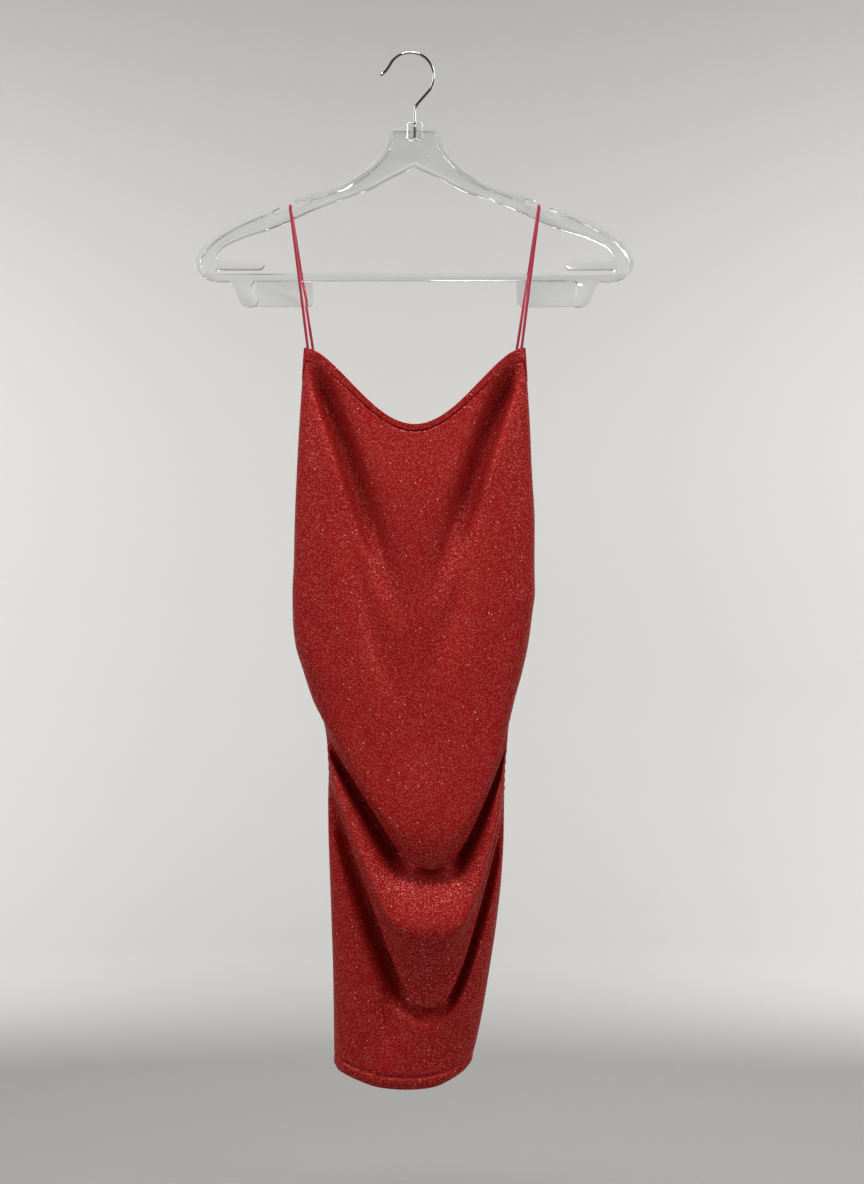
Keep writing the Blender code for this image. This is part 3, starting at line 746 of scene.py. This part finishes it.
def even_angles(half, start, end, count):
    """Angles in radians that run evenly round the cloth's section at hip height."""
    fine = np.radians(np.linspace(start, end, 1201))
    section = half.points([half.level_of(HIP_ROW[half.side])], fine)[0]
    lengths = np.linalg.norm(np.diff(section, axis=0), axis=1)
    return even_steps(fine, lengths, count)


def even_levels(half, start, end, count):
    """Levels that run evenly down the cloth, on the mean of several lines down it."""
    fine = np.linspace(start, end, 1201)
    lines = half.points(fine, np.radians([-75, -40, -10, 10, 40, 75]))
    lengths = np.linalg.norm(np.diff(lines, axis=0), axis=2).mean(axis=1)
    return even_steps(fine, lengths, count)


def panel_levels(half, count):
    """Levels down a panel, closer together at its neck seam and at its hem."""
    neck_end, hem_start = BAND_STEPS + 0.7, half.last - 1.6
    neck = even_levels(half, 1.3, neck_end, 16)[:-1]
    middle = even_levels(half, neck_end, hem_start, count)[:-1]
    return np.concatenate([neck, middle, even_levels(half, hem_start, half.last, 28)])


def grid_normals(points, facing):
    """Unit directions out of a grid of points whose rows run down and columns to the right."""
    down = np.gradient(points, axis=0)
    right = np.gradient(points, axis=1)
    out = np.cross(right, -down) * -facing
    return out / np.maximum(np.linalg.norm(out, axis=2), 1e-9)[:, :, None]


def cloth_wall(name, outer, inner):
    """A closed wall of knit between two grids of points, with a UV map in metres of cloth."""
    rows, columns = outer.shape[:2]
    bm = bmesh.new()
    bmesh.ops.create_grid(bm, x_segments=columns - 1, y_segments=rows - 1, size=1.0)
    row_of = bm.verts.layers.int.new("row")
    column_of = bm.verts.layers.int.new("column")
    for vert in bm.verts:
        vert[column_of] = round((vert.co.x + 1) / 2 * (columns - 1))
        vert[row_of] = rows - 1 - round((vert.co.y + 1) / 2 * (rows - 1))
    made = bmesh.ops.extrude_face_region(bm, geom=bm.faces[:])
    copies = {item for item in made["geom"] if isinstance(item, bmesh.types.BMVert)}
    for vert in bm.verts:
        grid = inner if vert in copies else outer
        vert.co = grid[vert[row_of], vert[column_of]] * MM
    down = np.linalg.norm(np.diff(outer, axis=0), axis=2).mean(axis=1)
    right = np.linalg.norm(np.diff(outer, axis=1), axis=2).mean(axis=0)
    v_of = np.concatenate([[0], -np.cumsum(down)]) * MM
    u_of = np.concatenate([[0], np.cumsum(right)]) * MM
    uv = bm.loops.layers.uv.new("UVMap")
    for face in bm.faces:
        for loop in face.loops:
            vert = loop.vert
            loop[uv].uv = (u_of[vert[column_of]], v_of[vert[row_of]])
    bmesh.ops.recalc_face_normals(bm, faces=bm.faces)
    bm.verts.layers.int.remove(row_of)
    bm.verts.layers.int.remove(bm.verts.layers.int["column"])
    return finished_piece(name, bm, the_material("glitter knit jersey", glitter_knit))


def add_object(name, data):
    """An object of that name in the scene, which holds the mesh, light or camera."""
    added = bpy.data.objects.new(name, data)
    bpy.context.scene.collection.objects.link(added)
    return added


def finished_piece(name, bm, material, sharp=50):
    """The bmesh as a smooth shaded object of that material, riding on the one body."""
    mesh = bpy.data.meshes.new(name)
    bm.to_mesh(mesh)
    bm.free()
    mesh.materials.append(material)
    mesh.shade_smooth()
    mesh.set_sharp_from_angle(angle=math.radians(sharp))
    piece = add_object(name, mesh)
    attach(piece, "root")
    return piece


def round_edges(piece, name, radius, corner):
    """Rounds the edges that turn by more than the corner's degrees."""
    bevel = piece.modifiers.new(name, "BEVEL")
    bevel.width = radius * MM
    bevel.segments = 3
    bevel.limit_method = "ANGLE"
    bevel.angle_limit = math.radians(corner)
    return bevel


def seam_pinch(angles):
    """How far the cloth is drawn in beside the side seams."""
    return SEAM_PINCH[0] * beside(QUARTER - np.abs(angles), SEAM_PINCH[1])


def gather_depth(half, angles, below):
    """Small uneven puckers that run in from the gathered stretch of each side seam."""
    top, low = GATHERS
    inside = ease(top - 25, top + 15, below) * (1 - ease(low - 15, low + 40, below))
    near = beside(QUARTER - np.abs(angles) - 0.17, 0.10)
    # The wave's places and its height drift slowly, so that no two puckers are alike
    swing = 2.1 * np.sin(below / 17.0 + 1.3 * np.sign(angles)) + np.sign(angles)
    wave = np.sin(2 * math.pi * below / GATHER_SPACING + swing)
    return GATHER_DEPTH * inside * near * wave * (0.65 + 0.35 * np.sin(below / 23.0 + 2.0))


def underside_depth(half, levels, angles):
    """How far the face under the lower swag's crest draws in."""
    start, end = (half.level_of(name) for name in UNDERSIDE_ROWS[half.side])
    down = np.clip((levels - start) / (end - start), 0, 1)[:, None]
    middle = 1 - ease(0.25, 0.62, np.abs(np.sin(angles)))
    return UNDERSIDE_DEPTH[half.side] * np.sin(math.pi * down) ** 0.8 * middle


def fold_depth(half, levels, angles):
    """How far the tucks draw in, less how far the lips over them stand out, most of it aside."""
    share = np.abs(np.sin(angles))
    aside = (0.25 + 0.75 * ease(0.1, 0.42, share)) * (1 - ease(0.85, 0.98, share))
    total = np.zeros((len(levels), len(angles)))
    for fold in FOLDS[half.side]:
        lip, tuck = half.level_of(fold.lip), half.level_of(fold.tuck)
        drawn = fold.deep * beside(levels - tuck + TUCK_LIFT, TUCK_WIDTH)
        drawn -= fold.out * beside(levels - lip, LIP_WIDTH)
        total += drawn[:, None] * aside
    return total


def neck_and_hem(press, levels, free, from_band, to_edge, hem):
    """The press with the neck seam's groove, and the hem's stitching, double cloth and turn."""
    press = press + (HEM_STITCHING[0] + free) * beside(to_edge - hem, HEM_STITCHING[1])
    press -= DOUBLE_OUT * (1 - ease(hem - 4.0, hem, to_edge))
    press += HEM_TURN[0] * (1 - ease(0, HEM_TURN[1], to_edge)) ** 2
    press = press * ease(0, NECK_FADE, from_band) + NECK_GROOVE[0] * beside(from_band, NECK_GROOVE[1])
    under_band = (1 - ease(BAND_STEPS - 0.3, BAND_STEPS, levels))[:, None]
    return press * (1 - under_band) + UNDER_BAND * under_band


def make_panel(half, name, columns, rows):
    """A panel with its creases, gathers, neck seam and turned hem pressed into the cloth."""
    sizes = bpy.context.scene.dress_sizes
    levels = panel_levels(half, rows)
    angles = even_angles(half, -90, 90, columns)
    points = half.points(levels, angles)
    across, below = points[:, :, 0], -points[:, :, 2]
    steps = np.linalg.norm(np.diff(points, axis=0), axis=2)
    reached = np.concatenate([np.zeros((1, len(angles))), steps.cumsum(axis=0)])
    from_band = reached - reached[np.searchsorted(levels, BAND_STEPS)]
    to_edge = reached[-1] - reached
    hem = sizes.hem_depth / MM

    # Creases fade out at the side seams, which hold the cloth
    free = np.minimum(1, np.cos(angles) * 5)
    press = crease_depth(half.side, across, below) + core_depth(half.side, across, below)
    press *= free * sizes.crease_strength
    press += gather_depth(half, angles, below) + underside_depth(half, levels, angles)
    press += seam_pinch(angles) + fold_depth(half, levels, angles)
    press = neck_and_hem(press, levels, free, from_band, to_edge, hem)

    normals = half.normals(levels, angles)
    outer = points - normals * press[:, :, None]
    drawn = grid_normals(outer, half.facing)
    drawn[:, [0, -1]] = normals[:, [0, -1]]
    turned = 1 - ease(hem - 1.0, hem + 0.5, to_edge)
    cloth = (sizes.cloth + (sizes.turned_cloth - sizes.cloth) * turned) / MM
    inner = outer - drawn * cloth[:, :, None]
    piece = cloth_wall(name, outer, inner)
    return piece


def make_band(name, outer, normals):
    """A turned strip of cloth along an edge, standing a little proud of the panel under it."""
    sizes = bpy.context.scene.dress_sizes
    outer = outer + normals * (sizes.band_stand / MM)
    inner = outer - normals * (sizes.turned_cloth / MM)
    piece = cloth_wall(name, outer, inner)
    round_edges(piece, "turned edge", BAND_RADIUS, BAND_CORNER)
    return piece


def make_neck_band(half, name, columns):
    levels = np.linspace(0, BAND_STEPS, 9)
    corner = half.edge.corner_angle
    angles = even_angles(half, -corner, corner, columns)
    piece = make_band(name, half.points(levels, angles), half.normals(levels, angles))
    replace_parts(piece, f"{half.side}_neck_band")
    return piece


def make_armhole_band(name, facing, node):
    levels = np.linspace(0, BAND_STEPS, 9)
    front = np.sort(even_angles(FRONT, FRONT.edge.corner_angle, 90, 14)) * facing
    back = np.sort(even_angles(BACK, BACK.edge.corner_angle, 90, 18))[::-1] * facing
    points = [FRONT.points(levels, front)[:, :-1], BACK.points(levels, back)]
    normals = [FRONT.normals(levels, front)[:, :-1], BACK.normals(levels, back)]
    piece = make_band(name, np.concatenate(points, axis=1), np.concatenate(normals, axis=1))
    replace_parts(piece, node)
    return piece


class MESH_OT_dress_panels(bpy.types.Operator):
    """Makes the front and back panels, with their swags, creases, gathers and turned hems"""

    bl_idname = "mesh.dress_panels"
    bl_label = "Front and back panels"

    def execute(self, context):
        front = make_panel(FRONT, "front_panel_cloth", 160, 246)
        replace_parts(front, "front_panel")
        back = make_panel(BACK, "back_panel_cloth", 140, 220)
        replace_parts(back, "back_panel")
        return {"FINISHED"}


class MESH_OT_dress_bands(bpy.types.Operator):
    """Makes the turned bands of the neck and of the armholes"""

    bl_idname = "mesh.dress_bands"
    bl_label = "Neck and armhole bands"

    def execute(self, context):
        make_neck_band(FRONT, "front_neck_band_cloth", 200)
        make_neck_band(BACK, "back_neck_band_cloth", 180)
        make_armhole_band("armhole_band_left_cloth", -1, "armhole_band_left")
        make_armhole_band("armhole_band_right_cloth", 1, "armhole_band_right")
        return {"FINISHED"}


def smooth_path(points, added):
    """Points with more between each two, on a smooth curve through them."""
    points = [np.array(point, float) for point in points]
    padded = [2 * points[0] - points[1], *points, 2 * points[-1] - points[-2]]
    result = []
    for a, b, c, d in zip(padded, padded[1:], padded[2:], padded[3:]):
        for step in range(added + 1):
            t = step / (added + 1)
            bend = (3 * b - a - 3 * c + d) * t**3 + (2 * a - 5 * b + 4 * c - d) * t**2
            result.append(b + (bend + (c - a) * t) / 2)
    return [*result, points[-1]]


def round_cord(name, path, radii, material):
    """A round cord along millimetre points: a bevelled line made into a mesh, with closed ends."""
    curve = bpy.data.curves.new(name, "CURVE")
    curve.dimensions = "3D"
    curve.bevel_depth = MM
    curve.bevel_resolution = CORD_FACETS
    curve.use_fill_caps = True
    line = curve.splines.new("POLY")
    line.points.add(len(path) - 1)
    for point, place, radius in zip(line.points, path, radii):
        point.co = (*(np.array(place, float) * MM), 1.0)
        point.radius = radius
    holder = bpy.data.objects.new(name, curve)
    mesh = bpy.data.meshes.new_from_object(holder)
    bm = bmesh.new()
    bm.from_mesh(mesh)
    bmesh.ops.remove_doubles(bm, verts=bm.verts, dist=1e-6)
    bmesh.ops.recalc_face_normals(bm, faces=bm.faces)
    bpy.data.objects.remove(holder)
    bpy.data.curves.remove(curve)
    bpy.data.meshes.remove(mesh)
    return finished_piece(name, bm, material)


def slot_floor(across):
    """How far below the hook the strap slot's floor lies there."""
    (near, upper), (far, lower) = SLOT_FLOOR
    return upper + (lower - upper) * (across - near) / (far - near)


def make_strap(name, facing, node):
    """One strap: up from the front corner, over its slot in the hanger and down to the back."""
    x = HANGER_X + facing * STRAP_OUT
    lift = (STRAP / 2 + STRAP_GAP) / math.cos(math.radians(SLOT_SLOPE))
    edge_y, edge_z = HANGER_DEPTH / 2, -slot_floor(STRAP_OUT)
    sewn = []
    for half in (FRONT, BACK):
        seat = half.edge.corner_angle - STRAP_SEAT_INSET[half.side]
        end = half.points([0], np.radians([facing * seat]))[0, 0]
        end[1] -= half.facing * BAND_CLOTH / 3
        sewn.append(end)
    over = []
    for step in range(9):
        angle = QUARTER * step / 8
        over.append((x, -edge_y - lift * math.cos(angle), edge_z + lift * math.sin(angle)))
    back_over = [(x, -y, z) for x, y, z in reversed(over)]
    down_front = np.linspace(sewn[0], over[0], 24)[:-1]
    down_back = np.linspace(back_over[-1], sewn[1], 24)[1:]
    hidden = np.array([0, 0, STRAP_INTO_BAND])
    path = [sewn[0] - hidden, *down_front, *over, *back_over, *down_back, sewn[1] - hidden]
    # The cord is pressed a little wider where it lies on the hanger
    radii = []
    for index in range(len(path)):
        pressed = 0.22 * beside(index - len(path) / 2, 12)
        radii.append(STRAP / 2 * STRAP_SPUN * (1 + pressed + 0.02 * math.sin(index * 1.7)))
    piece = round_cord(name, path, radii, the_material("satin rouleau cord", satin_rouleau))
    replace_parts(piece, node)


class MESH_OT_dress_straps(bpy.types.Operator):
    """Makes the two satin cords that hang in the hanger's slots"""

    bl_idname = "mesh.dress_straps"
    bl_label = "Straps"

    def execute(self, context):
        make_strap("strap_left_cord", -1, "strap_left")
        make_strap("strap_right_cord", 1, "strap_right")
        return {"FINISHED"}


def clear_moulding(name, bm, edge_radius):
    """A piece of clear plastic with its edges rounded as a mould leaves them. It casts no shadow,
    because a solid one would fall on the straps behind it."""
    material = the_material("clear moulded polystyrene", clear_polystyrene)
    piece = finished_piece(name, bm, material, 180)
    round_edges(piece, "moulded edge", edge_radius, MOULD_CORNER).harden_normals = True
    piece.visible_shadow = False
    return piece


def raise_yoke_hollow(bm):
    """Carries the hollow of the yoke up beside the hook's block, close under its top edge."""
    low_x, low = HOLLOW_ACROSS[-1], RAISED_BELOW[-1]
    near = 0.1
    for vert in bm.verts:
        across, below = vert.co.x / MM - HANGER_X, -vert.co.z / MM
        if abs(across) < low_x + near and HOLLOW_TOP - near < below < low + near:
            width = np.interp(abs(across), HOLLOW_ACROSS, RAISED_ACROSS)
            vert.co.x = (HANGER_X + math.copysign(width, across)) * MM
            vert.co.z = -np.interp(abs(across), HOLLOW_ACROSS, RAISED_BELOW) * MM


class MESH_OT_dress_hanger(bpy.types.Operator):
    """Makes the clear moulded hanger, and the block that its hook turns in"""

    bl_idname = "mesh.dress_hanger"
    bl_label = "Clear hanger"

    def execute(self, context):
        body = bmesh.new()
        body.from_mesh(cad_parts["hanger_body"].data)
        bmesh.ops.remove_doubles(body, verts=body.verts, dist=1e-6)
        flat = math.radians(1.0)
        bmesh.ops.dissolve_limit(body, angle_limit=flat, verts=body.verts, edges=body.edges)
        raise_yoke_hollow(body)
        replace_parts(clear_moulding("hanger_clear_body", body, MOULD_RADIUS), "hanger_body")

        block = bmesh.new()
        bmesh.ops.create_cube(block, size=MM)
        bmesh.ops.scale(block, vec=SOCKET_BLOCK, verts=block.verts)
        place = Vector((HANGER_X, 0, -SOCKET_BELOW)) * MM
        bmesh.ops.translate(block, vec=place, verts=block.verts)
        clear_moulding("hanger_socket_block", block, SOCKET_RADIUS)
        return {"FINISHED"}


class MESH_OT_dress_hook(bpy.types.Operator):
    """Makes the plated wire hook: stem, slanting shank, most of a circle and a rounded tip"""

    bl_idname = "mesh.dress_hook"
    bl_label = "Wire hook"

    def execute(self, context):
        # Up the stem and the slanting shank, most of a circle, and out along the tip
        radius = HOOK_INSIDE_RADIUS + HOOK_WIRE / 2
        route = [(HANGER_X, -HOOK_STEM_END), (HANGER_X, -70.0), (HANGER_X, -56.5)]
        route += [(HANGER_X + 0.4, -53.2), (6.6, -49.4), (17.4, -37.0), (19.6, -34.0)]
        for degrees in range(-25, 156, 12):
            angle = math.radians(degrees)
            route.append((radius * math.cos(angle), radius * math.sin(angle) - HOOK_INSIDE_RADIUS))
        route += [(-22.6, -14.6), (-24.4, -17.0), (-26.6, -18.9), (-28.2, -20.0)]
        path = smooth_path([(x, 0.0, z) for x, z in route], 3)
        radii = [HOOK_WIRE / 2] * (len(path) - len(HOOK_TIP_RADII)) + [*HOOK_TIP_RADII]
        # The tip ends in a dome
        end, thick = path[-1], radii[-1]
        ahead = (end - path[-2]) / np.linalg.norm(end - path[-2])
        for degrees in (30, 55, 75, 88):
            angle = math.radians(degrees)
            path.append(end + ahead * thick * math.sin(angle))
            radii.append(thick * math.cos(angle))
        chrome = the_material("bright chrome plate", bright_chrome)
        piece = round_cord("hanger_hook_wire", path, radii, chrome)
        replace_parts(piece, "hanger_hook")
        return {"FINISHED"}


def add_paper(low):
    """The floor and its round backdrop: one sheet whose edge rolls up all the way round."""
    profile = [(0.0, low), (1.0, low), (PAPER_REACH, low)]
    for degrees in range(15, 91, 15):
        angle = math.radians(degrees)
        reach = PAPER_REACH + PAPER_ROLL * math.sin(angle)
        profile.append((reach, low + PAPER_ROLL * (1 - math.cos(angle))))
    profile += [(PAPER_REACH + PAPER_ROLL, height) for height in BACKDROP_HEIGHTS]
    bm = bmesh.new()
    verts = [bm.verts.new((reach, 0, height)) for reach, height in profile]
    edges = [bm.edges.new(pair) for pair in zip(verts, verts[1:])]
    bmesh.ops.spin(
        bm, geom=verts + edges, axis=(0, 0, 1), angle=2 * math.pi, steps=72, use_merge=True
    )
    bmesh.ops.remove_doubles(bm, verts=bm.verts, dist=1e-5)
    bmesh.ops.recalc_face_normals(bm, faces=bm.faces)
    bmesh.ops.reverse_faces(bm, faces=bm.faces)
    mesh = bpy.data.meshes.new("studio_floor")
    bm.to_mesh(mesh)
    bm.free()
    mesh.shade_smooth()
    mesh.materials.append(the_material("matte studio paper", studio_paper))
    add_object("studio_floor", mesh)


def add_softbox(box, watts):
    """A soft light that the camera doesn't see."""
    light = bpy.data.lights.new(box.name, "AREA")
    light.shape = "RECTANGLE"
    light.size, light.size_y = box.size
    light.energy = watts
    lamp = add_object(box.name, light)
    lamp.location = box.place
    toward = Vector(box.aim) - Vector(box.place)
    lamp.rotation_euler = toward.to_track_quat("-Z", "Y").to_euler()
    lamp.visible_camera = False


def add_camera():
    """The camera that sees the object as the photo does."""
    view = bpy.data.cameras.new("camera")
    view.sensor_fit = "AUTO"
    view.sensor_width = SENSOR
    view.lens = SENSOR * -CAMERA_PLACE[1] / (IMAGE_LONG_SIDE * METRES_PER_PIXEL)
    camera = add_object("camera", view)
    camera.location = CAMERA_PLACE
    camera.rotation_euler = (QUARTER, 0, 0)
    bpy.context.scene.camera = camera


class SCENE_OT_dress_studio(bpy.types.Operator):
    """Makes the pale floor that rolls up into a round backdrop, the soft lights and the camera"""

    bl_idname = "scene.dress_studio"
    bl_label = "Studio"

    def execute(self, context):
        studio = context.scene.studio_settings
        add_paper(-studio.floor_drop)
        world = bpy.data.worlds.new("studio air")
        world.use_nodes = True
        air = world.node_tree.nodes["Background"]
        air.inputs["Color"].default_value = AIR_COLOUR
        air.inputs["Strength"].default_value = AIR_STRENGTH
        context.scene.world = world
        for box in SOFTBOXES:
            add_softbox(box, getattr(studio, box.setting))
        add_camera()
        context.scene.view_settings.view_transform = "Standard"
        return {"FINISHED"}


class VIEW3D_PT_dress(bpy.types.Panel):
    """Lists the pieces' operators, and under them every size and colour"""

    bl_label = "Slip dress"
    bl_idname = "VIEW3D_PT_dress"
    bl_space_type = "VIEW_3D"
    bl_region_type = "UI"
    bl_category = "Dress"

    def draw(self, context):
        layout = self.layout
        for operator in OPERATORS:
            layout.operator(operator.bl_idname)
        for group in (
            context.scene.dress_sizes,
            context.scene.dress_finish,
            context.scene.studio_settings,
        ):
            for name in group.__annotations__:
                layout.prop(group, name)


OPERATORS = (
    SCENE_OT_dress_studio,
    MESH_OT_dress_straps,
    MESH_OT_dress_panels,
    MESH_OT_dress_bands,
    MESH_OT_dress_hanger,
    MESH_OT_dress_hook,
)
GROUPS = (DressSizes, DressFinish, StudioSettings)


def register():
    for kind in (*GROUPS, *OPERATORS, VIEW3D_PT_dress):
        bpy.utils.register_class(kind)
    scene = bpy.types.Scene
    scene.dress_sizes = bpy.props.PointerProperty(type=DressSizes)
    scene.dress_finish = bpy.props.PointerProperty(type=DressFinish)
    scene.studio_settings = bpy.props.PointerProperty(type=StudioSettings)


def unregister():
    scene = bpy.types.Scene
    del scene.dress_sizes, scene.dress_finish, scene.studio_settings
    for kind in reversed((*GROUPS, *OPERATORS, VIEW3D_PT_dress)):
        bpy.utils.unregister_class(kind)


def main():
    register()
    bpy.ops.scene.dress_studio()
    bpy.ops.mesh.dress_straps()
    bpy.ops.mesh.dress_panels()
    bpy.ops.mesh.dress_bands()
    bpy.ops.mesh.dress_hanger()
    bpy.ops.mesh.dress_hook()
    bpy.context.view_layer.update()


if __name__ == "__main__":
    main()
